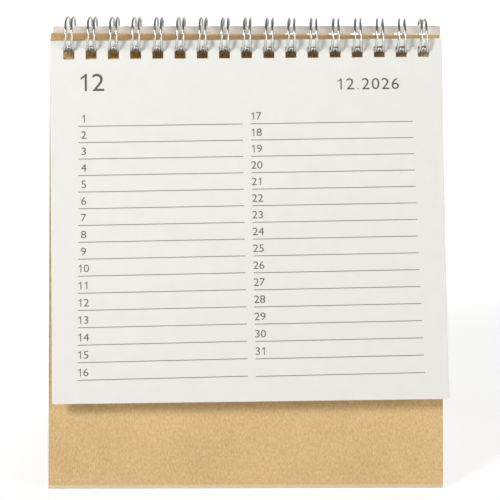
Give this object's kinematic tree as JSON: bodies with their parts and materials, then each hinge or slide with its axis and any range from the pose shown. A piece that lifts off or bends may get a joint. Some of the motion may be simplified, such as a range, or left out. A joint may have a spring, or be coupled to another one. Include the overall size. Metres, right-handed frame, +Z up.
{
  "type": "desk calendar",
  "caption": "Tent-shaped kraft card stand with paper leaves that turn over a twin-loop wire binding along its top edge, for standing on a desk.",
  "frame": {"origin": "middle of the base's underside, on the desk and straight below the wire's axis", "axes": "+X to the reader's right along the wire, +Y to the rear, +Z up"},
  "size_m": [0.1516, 0.1027, 0.173],
  "materials": {
    "kraft_card": "matt uncoated",
    "wire": "bright",
    "white_paper": "matt uncoated"
  },
  "bodies": {
    "stand": {"easel_stand": "kraft_card", "binding_wire": "wire"},
    "front_leaf": {"front_leaf": "white_paper"},
    "turned_leaves": {"turned_leaves": "white_paper"}
  },
  "joints": [
    {"name": "front_leaf_turn", "type": "hinge", "parent": "stand", "child": "front_leaf", "pos_m": [0, 0, 0.1654], "axis": [-1, 0, 0], "range_deg": [0, 110]},
    {"name": "turned_leaves_turn", "type": "hinge", "parent": "stand", "child": "turned_leaves", "pos_m": [0, 0, 0.1654], "axis": [1, 0, 0], "range_deg": [0, 70]}
  ]
}
